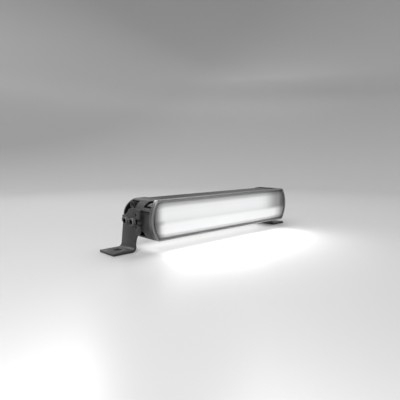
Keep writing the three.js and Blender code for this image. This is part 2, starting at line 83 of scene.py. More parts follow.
# shader maths: a socket that takes Python's own operators
class Wire:
    def __init__(self, finish, socket):
        self.finish = finish
        self.socket = socket

    def math(self, operation, first, second):
        return self.finish.node("ShaderNodeMath", {"operation": operation}, {0: first, 1: second})

    def __add__(self, other):
        return self.math("ADD", self, other)

    def __radd__(self, other):
        return self.math("ADD", other, self)

    def __sub__(self, other):
        return self.math("SUBTRACT", self, other)

    def __rsub__(self, other):
        return self.math("SUBTRACT", other, self)

    def __mul__(self, other):
        return self.math("MULTIPLY", self, other)

    def __rmul__(self, other):
        return self.math("MULTIPLY", other, self)

    def __truediv__(self, other):
        return self.math("DIVIDE", self, other)

    def __rtruediv__(self, other):
        return self.math("DIVIDE", other, self)

    def __abs__(self):
        return self.math("ABSOLUTE", self, 0.0)

    # 0 at start, 1 at end, with an eased step between them; start may be the larger one
    def ease(self, start, end):
        if start < end:
            return self.finish.node(
                "ShaderNodeMapRange", {"interpolation_type": "SMOOTHSTEP"},
                {"Value": self, "From Min": start, "From Max": end})
        return 1 - self.ease(end, start)


class Finish:
    def __init__(self, name, **plain):
        self.material = bpy.data.materials.new(name)
        self.material.use_nodes = True
        self.tree = self.material.node_tree
        self.tree.nodes.clear()
        self.output = self.tree.nodes.new("ShaderNodeOutputMaterial")
        self.shader = self.tree.nodes.new("ShaderNodeBsdfPrincipled")
        self.tree.links.new(self.shader.outputs[0], self.output.inputs["Surface"])
        for socket, value in plain.items():
            self.shader.inputs[socket.replace("_", " ")].default_value = value

    # any node: its type, its settings (a ramp's stops among them), then the values or links of its sockets
    def node(self, kind, settings=None, sockets=None, output=0):
        made = self.tree.nodes.new(kind)
        for key, value in (settings or {}).items():
            if key == "stops":
                ramp = made.color_ramp.elements
                while len(ramp) < len(value):
                    ramp.new(0.5)
                for stop, (place, colour) in zip(ramp, value):
                    stop.position = place
                    stop.color = (*colour, 1.0)
            else:
                setattr(made, key, value)
        for key, value in (sockets or {}).items():
            self.plug(made.inputs[key], value)
        return Wire(self, made.outputs[output])

    def plug(self, socket, value):
        if isinstance(value, Wire):
            self.tree.links.new(value.socket, socket)
        elif isinstance(value, tuple) and socket.type == "RGBA" and len(value) == 3:
            socket.default_value = (*value, 1.0)
        else:
            socket.default_value = value

    def feed(self, socket, value):
        self.plug(self.shader.inputs[socket], value)

    def place(self):
        return self.node("ShaderNodeTexCoord", output="Object")

    def axes(self, vector):
        parts = self.node("ShaderNodeSeparateXYZ", None, {0: vector})
        outputs = parts.socket.node.outputs
        return [Wire(self, outputs[index]) for index in range(3)]

    # noise between 0 and 1; stretch gives the repeats per metre along each axis
    def noise(self, vector, stretch, detail=2.0, roughness=0.5):
        scaled = self.node("ShaderNodeMapping", None, {"Vector": vector, "Scale": stretch})
        return self.node("ShaderNodeTexNoise", None,
                         {"Vector": scaled, "Scale": 1.0, "Detail": detail, "Roughness": roughness})

    # a smooth line through (value, level) points
    def profile(self, value, points):
        low = points[0][0]
        span = points[-1][0] - low
        stops = [((place - low) / span, (level,) * 3) for place, level in points]
        return self.node("ShaderNodeValToRGB", {"stops": stops}, {0: (value - low) / span})

    def mix(self, factor, first, second):
        return self.node("ShaderNodeMix", {"data_type": "RGBA"}, {0: factor, 6: first, 7: second}, output=2)

    def bump(self, height, distance, strength=1.0):
        self.feed("Normal", self.node("ShaderNodeBump", None,
                                      {"Height": height, "Distance": distance, "Strength": strength}))


def grey(level, warmth=0.0):
    return (level * (1 + warmth), level, level * (1 - warmth))


# extruded aluminium, dark anodised: fine lines along the bar and faint handling marks
anodisedLook = {"dark": 0.036, "light": 0.062, "metal": 0.55, "rough": 0.40, "lines": 1100, "cloud": 9}


def anodisedFinish(look):
    finish = Finish("anodisedGrey", Metallic=look["metal"])
    place = finish.place()
    lines = finish.noise(place, (6, look["lines"], look["lines"]), 3.0, 0.6)
    cloud = finish.noise(place, (look["cloud"],) * 3, 3.0, 0.6)
    shade = (lines * 0.6 + cloud * 0.5).ease(0.30, 0.80)
    finish.feed("Base Color", finish.mix(shade, grey(look["dark"]), grey(look["light"], -0.01)))
    finish.feed("Roughness", look["rough"] + lines * 0.14 - cloud * 0.06)
    finish.bump(lines, 0.00004, 0.6)
    return finish.material


# die-cast metal under a fine textured powder coat
coatLook = {"dark": 0.040, "light": 0.066, "rough": 0.46, "peel": 1500, "cloud": 22, "shine": 0.35}


def powderFinish(name, look):
    finish = Finish(name, Metallic=0.0, Specular_IOR_Level=look["shine"])
    place = finish.place()
    peel = finish.noise(place, (look["peel"],) * 3, 2.0, 0.55)
    speck = finish.noise(place, (look["peel"] * 2.6,) * 3, 1.0, 0.5)
    cloud = finish.noise(place, (look["cloud"],) * 3, 4.0, 0.6)
    shade = (peel * 0.35 + cloud * 0.75).ease(0.32, 0.76)
    colour = finish.mix(shade, grey(look["dark"]), grey(look["light"], look.get("warmth", 0.0)))
    colour = finish.mix(speck.ease(0.66, 0.74) * 0.25, colour, grey(look["light"] * 2.2))
    finish.feed("Base Color", colour)
    finish.feed("Roughness", look["rough"] + peel * 0.12 + cloud * 0.06)
    finish.bump(peel + speck * 0.4, 0.00010, 0.55)
    return finish.material


# moulded plastic: a shallow flow pattern, a little gloss
def mouldedFinish(name, look):
    finish = Finish(name, Metallic=0.0, Coat_Weight=look["coat"], Coat_Roughness=0.25)
    place = finish.place()
    grain = finish.noise(place, (look["grain"],) * 3, 2.0, 0.6)
    cloud = finish.noise(place, (14, 30, 30), 3.0, 0.6)
    colour = finish.mix((grain * 0.4 + cloud * 0.6).ease(0.30, 0.72), grey(look["dark"]), grey(look["light"]))
    # painted highlight: the lip gets a paler colour, set by its depth behind the front
    if "lip" in look:
        behind = finish.axes(place)[1] * perMetre - frontLow.y / mm
        colour = finish.mix(behind.ease(*look["lip"]), colour, grey(look["lipPaintedHighlight"]))
    finish.feed("Base Color", colour)
    finish.feed("Roughness", look["rough"] + grain * 0.10 + cloud * 0.05)
    finish.bump(grain, 0.00006, look["depth"])
    return finish.material


# The frame's lip is painted paler than the skirt behind it, a painted highlight where light catches the
# rounded lip. "lip" is where the change starts and ends, in millimetres behind the front.
frameLook = {"dark": 0.045, "light": 0.070, "rough": 0.26, "grain": 1400, "coat": 0.25, "depth": 0.25,
             "lip": (2.4, 1.2), "lipPaintedHighlight": 0.13}
nylonLook = {"dark": 0.012, "light": 0.024, "rough": 0.52, "grain": 1900, "coat": 0.0, "depth": 0.6}

# Frosted polycarbonate over two lit rows. The glow is emission in the lens itself. Places are in
# millimetres, from the middle of the bar and up from the mounting surface. Levels are light, 0 to 1.
lensLook = {
    "light": (0.985, 0.992, 1.0),
    "level": 0.825,
    # up the lens, halfway along
    "up": ((17.0, 0.05), (21.0, 0.25), (24.3, 0.53), (26.4, 0.80), (28.0, 0.86), (37.0, 0.865),
           (39.6, 0.81), (41.6, 0.71), (47.0, 0.80), (53.0, 0.835), (60.3, 0.80), (61.8, 0.73),
           (63.2, 0.56), (64.6, 0.44), (67.4, 0.28), (69.0, 0.16), (73.0, 0.05)),
    # along the upper row and along the lower row, as a share of the line up the middle
    "alongUpper": ((-150.0, 0.0), (-145.0, 0.05), (-141.5, 0.19), (-135.5, 0.74), (-132.0, 0.95),
                   (-128.0, 1.0), (66.0, 1.0), (80.0, 0.97), (92.0, 0.86), (112.0, 0.42), (123.0, 0.275),
                   (127.0, 0.29), (135.0, 0.08), (140.0, 0.03), (150.0, 0.0)),
    "alongLower": ((-150.0, 0.0), (-145.0, 0.02), (-141.5, 0.09), (-138.5, 0.27), (-135.5, 0.66),
                   (-132.5, 0.90), (-127.0, 1.0), (90.0, 1.0), (115.0, 0.97), (130.0, 0.55), (134.0, 0.34),
                   (139.0, 0.20), (150.0, 0.04)),
    "rowChange": (36.0, 44.5),
    "wedge": {"z": 41.3, "half": (5.2, 0.4), "x": (-126.0, -135.0), "depth": 0.38},
    # the light draws in at the corners: how far, and between which places along the bar
    "nearCorner": {"x": (-126.0, -137.0), "low": 2.3, "high": 1.3},
    "farCorner": {"x": (92.0, 124.0), "low": 1.4, "high": 0.0},
    "border": (0.06, 0.13),
    "haze": 0.03, "rough": 0.34, "frost": 2600,
}


def lensFinish(look):
    finish = Finish("frostedLens", Metallic=0.0, Emission_Strength=1.0, Coat_Weight=0.2, Coat_Roughness=0.2)
    place = finish.place()
    x, y, z = finish.axes(place)
    acrossX = x * perMetre
    upZ = z * perMetre
    upper = upZ.ease(*look["rowChange"])
    share = finish.mix(upper, finish.profile(acrossX, look["alongLower"]),
                       finish.profile(acrossX, look["alongUpper"]))
    # at the near end the line between the rows opens into a darker wedge
    wedge = look["wedge"]
    gap = abs(upZ - wedge["z"]).ease(*wedge["half"]) * acrossX.ease(*wedge["x"]) * wedge["depth"]
    haze = finish.noise(place, (30, 30, 60), 2.0, 0.5)
    drawnZ = upZ
    for corner in (look["nearCorner"], look["farCorner"]):
        amount = upper * (corner["high"] + corner["low"]) - corner["low"]
        drawnZ = drawnZ + acrossX.ease(*corner["x"]) * amount
    light = finish.profile(drawnZ, look["up"]) * share * (1 - gap) * (look["level"] + haze * look["haze"])
    finish.feed("Emission Color", finish.mix(light, (0.0, 0.0, 0.0), look["light"]))
    # base colour follows the glow share: darker at the ends beyond the lit rows, partly the dark inside seen
    # through the clear border and partly painted shade
    finish.feed("Base Color", finish.mix(share, grey(look["border"][0]), grey(look["border"][1])))
    frost = finish.noise(place, (look["frost"],) * 3, 2.0, 0.5)
    finish.feed("Roughness", frost * 0.10 + look["rough"])
    finish.bump(frost, 0.00004, 0.35)
    return finish.material


# Blackened steel. "reach" is 0 on the axis and 1 at the rim, and turning marks follow it. The socket is
# painted near-black, a painted shade, up to the reach where its walls end, and the rim is paler.
screwLook = {"dark": 0.040, "rim": 0.30, "socket": 0.006, "rough": 0.34, "turns": 75.0,
             "socketShadeTo": (0.54, 0.66), "paleRimFrom": (0.80, 0.94)}


def screwFinish(look):
    finish = Finish("blackenedSteel", Metallic=0.9)
    place = finish.place()
    reach = finish.node("ShaderNodeAttribute", {"attribute_name": "reach"}, output=2)
    marks = finish.node("ShaderNodeMath", {"operation": "SINE"}, {0: reach * look["turns"]}) * 0.5 + 0.5
    cloud = finish.noise(place, (700,) * 3, 3.0, 0.6)
    paleRim = (reach + (cloud - 0.5) * 0.10).ease(*look["paleRimFrom"])
    colour = finish.mix(cloud, grey(look["dark"] * 0.7), grey(look["dark"] * 1.5))
    # painted shade: the inside of the socket is near-black
    colour = finish.mix(reach.ease(*look["socketShadeTo"]), grey(look["socket"]), colour)
    colour = finish.mix(paleRim * 0.75, colour, grey(look["rim"], 0.01))
    finish.feed("Base Color", colour)
    finish.feed("Roughness", look["rough"] + cloud * 0.16 + marks * 0.05)
    finish.bump(marks * 0.5 + cloud, 0.00004, 0.5)
    return finish.material


# silicone with a faint pale bloom
rubberLook = {"dark": 0.012, "light": 0.040, "rough": 0.70, "bloom": 240, "fine": 3000}


def rubberFinish(look):
    finish = Finish("blackSilicone", Metallic=0.0)
    place = finish.place()
    bloom = finish.noise(place, (look["bloom"],) * 3, 4.0, 0.6)
    fine = finish.noise(place, (look["fine"],) * 3, 1.0, 0.5)
    finish.feed("Base Color", finish.mix(bloom, grey(look["dark"]), grey(look["light"])))
    finish.feed("Roughness", look["rough"] + bloom * 0.20)
    finish.bump(fine + bloom, 0.00005, 0.5)
    return finish.material


# vacuum-plated reflector, a little wavy along the bar
mirrorLook = {"dark": 0.78, "light": 0.90, "rough": 0.10, "ripple": (60, 200, 200)}


def mirrorFinish(look):
    finish = Finish("metallisedReflector", Metallic=0.95)
    place = finish.place()
    ripple = finish.noise(place, look["ripple"], 2.0, 0.5)
    finish.feed("Base Color", finish.mix(ripple, grey(look["dark"]), grey(look["light"], -0.01)))
    finish.feed("Roughness", look["rough"] + ripple * 0.14)
    finish.bump(ripple, 0.00010, 0.3)
    return finish.material


# White solder mask with copper tracks just under it and yellow LED faces. The LEDs repeat at the pitch,
# and whole half pitches are added so that the fold starts beyond the board's end. "ledFace" is the depth
# at which they stand proud of the board, in millimetres.
boardLook = {"pitch": 24.2, "halfPitches": 21, "ledHalf": 1.8, "ledSoft": 0.3, "ledFace": (-6.75, -6.95),
             "trackPitch": 2.0, "trackEdge": (1.2, 1.5), "white": 0.80, "track": (0.72, 0.70, 0.60),
             "led": (0.90, 0.78, 0.22), "rough": 0.38}


def boardFinish(look):
    finish = Finish("whiteCircuitBoard", Metallic=0.0)
    place = finish.place()
    x, y, z = finish.axes(place)
    half = look["pitch"] / 2
    fold = finish.node("ShaderNodeMath", {"operation": "PINGPONG"},
                       {0: x * perMetre + half * look["halfPitches"], 1: half})
    track = finish.node("ShaderNodeMath", {"operation": "PINGPONG"}, {0: z * perMetre, 1: look["trackPitch"]})
    mask = finish.noise(place, (900,) * 3, 2.0, 0.5)
    colour = finish.mix(track.ease(*look["trackEdge"]) * 0.35, grey(look["white"]), look["track"])
    ledEdge = half - look["ledHalf"]
    led = fold.ease(ledEdge - look["ledSoft"], ledEdge + look["ledSoft"])
    proud = (y * perMetre).ease(*look["ledFace"])
    colour = finish.mix(led * proud, colour, look["led"])
    finish.feed("Base Color", colour)
    finish.feed("Roughness", look["rough"] + mask * 0.14)
    finish.bump(mask, 0.00003, 0.4)
    return finish.material


# grey filled silicone pad
padLook = {"dark": (0.36, 0.41, 0.47), "light": (0.50, 0.55, 0.62), "rough": 0.72, "weave": (500, 900, 500)}


def padFinish(look):
    finish = Finish("thermalPadGrey", Metallic=0.0)
    place = finish.place()
    weave = finish.noise(place, look["weave"], 3.0, 0.6)
    finish.feed("Base Color", finish.mix(weave, look["dark"], look["light"]))
    finish.feed("Roughness", look["rough"] + weave * 0.15)
    finish.bump(weave, 0.00008, 0.5)
    return finish.material


# green board with tracks, black parts standing on its rear side from the depth "partsFrom", in millimetres
driverLook = {"between": (0.10, 0.30, 0.12), "inside": (0.03, 0.15, 0.07), "cells": 260.0,
              "cellEdge": (0.20, 0.24), "parts": (0.015, 0.045), "partsFrom": (5.75, 6.0), "rough": 0.36}


def driverFinish(look):
    finish = Finish("driverBoardGreen", Metallic=0.0)
    place = finish.place()
    depth = finish.axes(place)[1] * perMetre
    cells = finish.node("ShaderNodeTexVoronoi", {"distance": "MANHATTAN"},
                        {"Vector": place, "Scale": look["cells"]})
    grain = finish.noise(place, (1200,) * 3, 2.0, 0.5)
    board = finish.mix(cells.ease(*look["cellEdge"]), look["between"], look["inside"])
    dark, light = look["parts"]
    parts = finish.mix(grain, grey(dark), grey(light))
    finish.feed("Base Color", finish.mix(depth.ease(*look["partsFrom"]), board, parts))
    finish.feed("Roughness", look["rough"] + grain * 0.2)
    finish.bump(cells, 0.00005, 0.4)
    return finish.material


# painted shade: a near-black finish for the insides of the end caps' pockets and notches, where shade falls
pocketLook = {"dark": 0.006, "light": 0.014, "rough": 0.62, "peel": 1500, "cloud": 22, "shine": 0.15}
bracketLook = {"dark": 0.020, "light": 0.034, "rough": 0.34, "peel": 1300, "cloud": 30, "shine": 0.42,
               "warmth": 0.03}
finishes = {
    "body": anodisedFinish(anodisedLook),
    "cap": powderFinish("castPowderCoat", coatLook),
    "pocket": powderFinish("castPocketPaintedShade", pocketLook),
    "frame": mouldedFinish("frameSemiGloss", frameLook),
    "lens": lensFinish(lensLook),
    "bracket": powderFinish("bracketPowderCoat", bracketLook),
    "screw": screwFinish(screwLook),
    "rubber": rubberFinish(rubberLook),
    "mirror": mirrorFinish(mirrorLook),
    "board": boardFinish(boardLook),
    "pad": padFinish(padLook),
    "driver": driverFinish(driverLook),
    "plastic": mouldedFinish("blackNylon", nylonLook),
}
print("finishes made:", len(finishes))


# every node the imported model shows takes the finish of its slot
slotOfNode = {}
for part in frame["record"]["subparts"]:
    slotOfNode[part["node"]] = part["material_slot"]
bodyOfNode = {}
for bodyName, members in frame["record"]["behaviour"]["bodies"].items():
    for member in members:
        bodyOfNode[member] = bodyName
for nodeName, thing in nodes.items():
    thing.data.materials.clear()
    thing.data.materials.append(finishes[slotOfNode[nodeName]])


# A skin over a grid of points. Each point joins the next one in its row and the one below it in the next
# row, and a row or a column of points may run round and join up with its own start.
def skin(points, rowsLoop=False, columnsLoop=True):
    rows, columns = points.shape[:2]
    index = np.arange(rows * columns).reshape(rows, columns)
    if columnsLoop:
        index = np.concatenate([index, index[:, :1]], axis=1)
    if rowsLoop:
        index = np.concatenate([index, index[:1]], axis=0)
    quads = np.stack([index[:-1, :-1], index[:-1, 1:], index[1:, 1:], index[1:, :-1]], axis=-1)
    return points.reshape(-1, 3), quads.reshape(-1, 4)


# distances in metres: points this near are one point, and edges this short are closed up
weldPlan = {"merge": 2e-6, "tiny": 1e-7}


# One object from one or more skins: doubles merged, normals outwards, edges past the angle kept sharp.
def makePiece(name, skins, standsFor, reach=None, sharpAngle=34, mirror=False):
    corners = []
    faces = []
    start = 0
    for points, quads in skins:
        corners.append(points)
        faces.append(quads + start)
        start += len(points)
    corners = np.concatenate(corners)
    if mirror:
        corners = corners * np.array([-1.0, 1.0, 1.0])
    mesh = bpy.data.meshes.new(name)
    mesh.from_pydata(corners.tolist(), [], np.concatenate(faces).tolist())
    if reach is not None:
        attribute = mesh.attributes.new("reach", "FLOAT", "POINT")
        attribute.data.foreach_set("value", np.asarray(reach, np.float32).ravel())
    work = bmesh.new()
    work.from_mesh(mesh)
    bmesh.ops.remove_doubles(work, verts=work.verts, dist=weldPlan["merge"])
    bmesh.ops.dissolve_degenerate(work, edges=work.edges, dist=weldPlan["tiny"])
    bmesh.ops.recalc_face_normals(work, faces=work.faces)
    work.to_mesh(mesh)
    work.free()
    return finishPiece(mesh, name, standsFor, sharpAngle)


def finishPiece(mesh, name, standsFor, sharpAngle=None):
    piece = bpy.data.objects.new(name, mesh)
    scene.collection.objects.link(piece)
    mesh.polygons.foreach_set("use_smooth", np.ones(len(mesh.polygons), bool))
    if sharpAngle is not None:
        mesh.set_sharp_from_angle(angle=math.radians(sharpAngle))
    mesh.materials.clear()
    mesh.materials.append(finishes[slotOfNode[standsFor[0]]])
    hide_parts(*standsFor)
    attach(piece, bodyOfNode[standsFor[0]])
    return piece


# the front outline, in millimetres: the radius of the end arcs, the corner radius and the least it
# shrinks to when set in, then the number of points on an end arc, on a corner and along a flat edge
frontPlan = {"bulge": 44.0, "corner": 6.0, "least": 1.2, "arc": 22, "turn": 9, "flat": 40}

# where the end caps take the painted pocket shade, in millimetres from the front face, from the middle line
# and in from the outline
pocketPlan = {"rim": 2.0, "topRim": 3.6, "deepest": 145.0, "skin": 1.2, "sideFront": 27.0, "roundFrom": 46.0,
              "flat": 4.0, "notchFront": 26.0, "notchUp": 16.3, "notchFloor": 2.0, "notchInner": 136.0}
# Castings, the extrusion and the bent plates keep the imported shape, with edges broken by these millimetres.
edgeWidths = {
    "housing": 0.35, "end_cap_left": 0.55, "end_cap_right": 0.55, "bracket_left": 0.45, "bracket_right": 0.45,
}
# triangles are joined into faces up to flatAngle, and edges past sharpAngle are broken, both in degrees
edgePlan = {"merge": 1e-6, "flatAngle": 0.6, "sharpAngle": 33, "segments": 2}


# Painted shade: the end caps' pockets take a near-black finish that stands in for the shade in them, on
# faces inside the rim of the round back and below its edge. So do the notches for the frame's lugs.
def paintPocketShade(mesh, plan):
    mesh.materials.append(finishes["pocket"])
    low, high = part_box("end_cap_left")
    half = (high.z - low.z) / 2 / mm
    middle = (high.z + low.z) / 2 / mm
    count = len(mesh.polygons)
    centre = np.zeros(count * 3)
    mesh.polygons.foreach_get("center", centre)
    centre = centre.reshape(-1, 3) / mm
    x = np.abs(centre[:, 0])
    depth = centre[:, 1] - frontLow.y / mm
    up = centre[:, 2] - middle
    behind = np.maximum(depth - plan["roundFrom"], 0)
    above = np.maximum(np.abs(up) - plan["flat"], 0)
    bulge = frontPlan["bulge"]
    surface = frontHigh.x / mm - bulge + np.sqrt(np.maximum(bulge ** 2 - up ** 2, 0))
    inside = behind ** 2 + above ** 2 < (half - plan["rim"] - plan["flat"]) ** 2
    inside &= (np.abs(up) < half - plan["topRim"]) & (depth > plan["sideFront"])
    inside &= x < np.minimum(plan["deepest"], surface - plan["skin"])
    notch = (depth < plan["notchFront"]) & (up > plan["notchUp"]) & (up < half - plan["notchFloor"])
    inside |= notch & (x < surface - plan["notchFloor"]) & (x > plan["notchInner"])
    mesh.polygons.foreach_set("material_index", inside.astype(np.int32))


def softenEdges(nodeName, width, plan):
    work = bmesh.new()
    work.from_mesh(nodes[nodeName].data)
    bmesh.ops.remove_doubles(work, verts=work.verts, dist=plan["merge"])
    flatAngle = math.radians(plan["flatAngle"])
    bmesh.ops.dissolve_limit(work, angle_limit=flatAngle, verts=work.verts, edges=work.edges)
    mesh = bpy.data.meshes.new(nodeName + "_soft")
    work.to_mesh(mesh)
    work.free()
    piece = finishPiece(mesh, nodeName + "_shell", [nodeName])
    # painted shade in the end caps' pockets and notches
    if nodeName.startswith("end_cap"):
        paintPocketShade(mesh, pocketPlan)
    bevel = piece.modifiers.new("brokenEdges", "BEVEL")
    bevel.width = width * mm
    bevel.segments = plan["segments"]
    bevel.limit_method = "ANGLE"
    bevel.angle_limit = math.radians(plan["sharpAngle"])
    bevel.harden_normals = True
    bevel.use_clamp_overlap = True
    return piece


for nodeName, width in edgeWidths.items():
    softenEdges(nodeName, width, edgePlan)
print("castings and plates softened")


# The front outline: flat top and bottom, arcs for the short ends and round corners, all set in by the
# same distance. An end arc has radius r = bulge - inset about (+-c, middle). A corner arc has its centre
# where a circle of radius r - corner about the same point meets the height half - corner.
def frontOutline(inset):
    half = (frontHigh.z - frontLow.z) / 2 / mm
    middle = (frontHigh.z + frontLow.z) / 2 / mm
    centre = frontHigh.x / mm - frontPlan["bulge"]
    corner = max(frontPlan["corner"] - inset, frontPlan["least"])
    end = frontPlan["bulge"] - inset
    tall = half - inset - corner
    across = math.sqrt((end - corner) ** 2 - tall ** 2)
    lean = math.atan2(tall, across)
    bulgeAngles = np.linspace(-lean, lean, frontPlan["arc"], endpoint=False)
    turnAngles = np.linspace(lean, math.pi / 2, frontPlan["turn"], endpoint=False)
    right = np.stack([centre + end * np.cos(bulgeAngles), end * np.sin(bulgeAngles)], axis=1)
    turn = centre + across
    top = np.stack([turn + corner * np.cos(turnAngles), tall + corner * np.sin(turnAngles)], axis=1)
    flat = np.linspace(turn, -turn, frontPlan["flat"], endpoint=False)
    edge = np.stack([flat, np.full(len(flat), half - inset)], axis=1)
    leftAngles = np.linspace(math.pi / 2, math.pi - lean, frontPlan["turn"], endpoint=False)
    left = np.stack([corner * np.cos(leftAngles) - turn, tall + corner * np.sin(leftAngles)], axis=1)
    # turned half round, the first half gives the left end, the bottom and the lower corners
    first = np.concatenate([right, top, edge, left])
    outline = np.concatenate([first, -first])
    outline[:, 1] += middle
    return outline


# A ring: the whole outline at each profile point's inset and depth behind the front.
def ringPoints(profile):
    rows = []
    for inset, depth in profile:
        outline = frontOutline(inset)
        rows.append(np.stack([outline[:, 0] * mm, np.full(len(outline), frontLow.y + depth * mm),
                              outline[:, 1] * mm], axis=1))
    return np.stack(rows)


# points on a quarter round from one direction to another, in degrees
def roundCorner(centre, radius, fromAngle, toAngle, steps=4):
    angles = np.radians(np.linspace(fromAngle, toAngle, steps + 1))
    return [(centre[0] + radius * math.cos(a), centre[1] + radius * math.sin(a)) for a in angles]


# Front frame: a rounded lip round the lens, a fine groove round its side, and a lug at each upper corner
# that reaches back into the end cap. "lugRound" is the depth, height and radius of the lug's rear edge.
framePlan = {"lipOuter": 1.5, "lipInner": 0.5, "lipWidth": 2.6, "lipDepth": 3.0, "skirt": 1.2,
             "skirtDepth": 7.5, "groove": (4.1, 4.6), "grooveDeep": 0.12, "grooveSlope": 0.15,
             "lugInset": (0.3, 2.5), "lugStart": 137.5, "lugUp": 17.5, "lugRound": (8.5, 12.0, 11.8),
             "lugOverlap": 0.6, "lugLeast": 1.2, "lugTip": 0.2, "lugEdge": 0.5, "lugChamfer": 0.4,
             "lugStep": 0.9}


def makeFrame(plan):
    outer = plan["lipOuter"]
    inner = plan["lipInner"]
    grooveFront, grooveBack = plan["groove"]
    slope = plan["grooveSlope"]
    profile = [(0.0, plan["skirtDepth"]), (0.0, grooveBack), (plan["grooveDeep"], grooveBack - slope),
               (plan["grooveDeep"], grooveFront + slope), (0.0, grooveFront)]
    profile += roundCorner((outer, outer), outer, 180, 270, 6)
    profile += roundCorner((plan["lipWidth"] - inner, inner), inner, 270, 360, 3)
    profile += [(plan["lipWidth"], plan["lipDepth"]), (plan["skirt"], plan["lipDepth"]),
                (plan["skirt"], plan["skirtDepth"])]
    skins = [skin(ringPoints(profile), rowsLoop=True)]
    # A lug follows the outline. Its rear edge is an arc in the side view, never nearer than a least depth:
    # depth = centre + sqrt(radius^2 - (height - centre height)^2)
    nearInset, farInset = plan["lugInset"]
    front = plan["skirtDepth"] - plan["lugOverlap"]
    outline = frontOutline(nearInset)
    middle = (frontHigh.z + frontLow.z) / 2 / mm
    up = outline[:, 1] - middle
    roundDepth, roundUp, roundRadius = plan["lugRound"]
    rear = roundDepth + np.sqrt(np.maximum(roundRadius ** 2 - (up - roundUp) ** 2, 0))
    rear = np.maximum(rear, front + plan["lugLeast"])
    # each row of the loop: inset, share of the way back, and a step in millimetres on top of it
    edge = plan["lugEdge"]
    chamfer = plan["lugChamfer"]
    rows = [(nearInset, 0.0, 0.0), (nearInset, 1.0, -edge), (nearInset + edge * 0.3, 1.0, -edge * 0.3),
            (nearInset + edge, 1.0, 0.0), (farInset - chamfer, 1.0, 0.0), (farInset, 1.0, -chamfer),
            (farInset, 0.0, plan["lugStep"]), (plan["skirt"], 0.0, 0.0)]
    loop = []
    for inset, back, step in rows:
        line = frontOutline(inset)
        depth = front + (rear - front) * back + step
        loop.append(np.stack([line[:, 0] * mm, frontLow.y + depth * mm, line[:, 1] * mm], axis=1))
    loop = np.stack(loop)
    for sideX in (-1, 1):
        inside = (outline[:, 0] * sideX > plan["lugStart"]) & (up > plan["lugUp"])
        inside &= up < roundUp + roundRadius - plan["lugTip"]
        lug = loop[:, np.flatnonzero(inside)]
        ends = lug.mean(axis=0, keepdims=True)
        first = np.repeat(ends[:, :1], len(lug), axis=0)
        last = np.repeat(ends[:, -1:], len(lug), axis=0)
        skins.append(skin(np.concatenate([first, lug, last], axis=1), rowsLoop=True, columnsLoop=False))
    return makePiece("front_frame_moulding", skins, ["front_frame"])


makeFrame(framePlan)


# lens: a faintly crowned face with a rounded edge, and a flange behind it under the frame's lip
lensPlan = {"edge": 4.8, "round": 0.9, "face": 0.75, "crown": 0.45, "flange": 1.5, "flangeFront": 3.3,
            "flangeBack": 5.7, "spine": 112.0, "steps": 14}


def makeLens(plan):
    middle = (frontHigh.z + frontLow.z) / 2 / mm

    # from the middle line out to the outline: the middle line's point plus a share of the way
    def faceRows(inset, shares, depths):
        outline = frontOutline(inset)
        along = np.clip(outline[:, 0], -plan["spine"], plan["spine"])
        spine = np.stack([along, np.full(len(outline), middle)], axis=1)
        rows = spine + (outline - spine) * shares[:, None, None]
        depth = np.broadcast_to(depths[:, None, None], (len(shares), len(outline), 1))
        return np.concatenate([rows[..., :1] * mm, frontLow.y + depth * mm, rows[..., 1:] * mm], axis=2)

    shares = np.linspace(0.0, 1.0, plan["steps"])
    front = faceRows(plan["edge"] + plan["round"], shares, plan["face"] - plan["crown"] * (1 - shares ** 2))
    edge = [(plan["edge"] + plan["round"] + x, plan["face"] + plan["round"] + y)
            for x, y in roundCorner((0, 0), plan["round"], 270, 180, 5)][1:]
    edge += [(plan["edge"], plan["flangeFront"]), (plan["flange"], plan["flangeFront"]),
             (plan["flange"], plan["flangeBack"])]
    back = faceRows(plan["flange"], shares[::-1], np.full(plan["steps"], plan["flangeBack"]))
    return makePiece("lens_moulding", [skin(np.concatenate([front, ringPoints(edge), back[1:]]))], ["lens"])


makeLens(lensPlan)
print("frame and lens made")


# A turned piece: every row is (distance along the axis, radius, sides). A hexagon has its corners at that
# radius, and elsewhere it is corner * cos(30) / cos(angle from the middle of the flat).
def turnedPoints(rows, around, count, direction="x", phase=0.0, ripple=None):
    angles = np.linspace(0, 2 * math.pi, count, endpoint=False)
    flatAngle = np.mod(angles + phase, math.pi / 3) - math.pi / 6
    hexagon = math.cos(math.pi / 6) / np.cos(flatAngle)
    along = np.array([row[0] for row in rows])
    radius = np.array([row[1] for row in rows])[:, None] * np.ones(count)
    for number, row in enumerate(rows):
        if row[2] == "hex":
            radius[number] *= hexagon
        if row[2] == "chamfer":      # a hexagon cut by a cone
            radius[number] = np.minimum(row[1], row[3] * hexagon)
        if row[2] == "grip":
            radius[number] -= ripple[1] * (0.5 - 0.5 * np.cos(angles * ripple[0]))
    along = np.broadcast_to(along[:, None], radius.shape)
    first = radius * np.cos(angles)
    second = radius * np.sin(angles)
    if direction == "x":
        points = np.stack([along, around[1] + first, around[2] + second], axis=2)
    else:
        points = np.stack([around[0] + second, along, around[2] + first], axis=2)
    return points * mm, radius / radius.max()


def centreOf(nodeName):
    low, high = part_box(nodeName)
    return [value / mm for value in (low + high) / 2]


# Socket-head screws. Sizes are radii and depths in millimetres, and both kinds share the small edges.
screwEdges = {"tip": 0.6, "under": 0.25, "mouth": 0.35, "lead": 0.3, "drillShare": 0.5, "drill": 0.45,
              "turn": 0.4, "steps": 48}
pivotScrewPlan = {"head": 4.8, "height": 3.0, "shank": 3.0, "socket": 2.9, "deep": 2.1, "round": 0.45}
capScrewPlan = {"head": 3.5, "height": 2.6, "shank": 2.2, "socket": 1.75, "deep": 1.6, "round": 0.35}


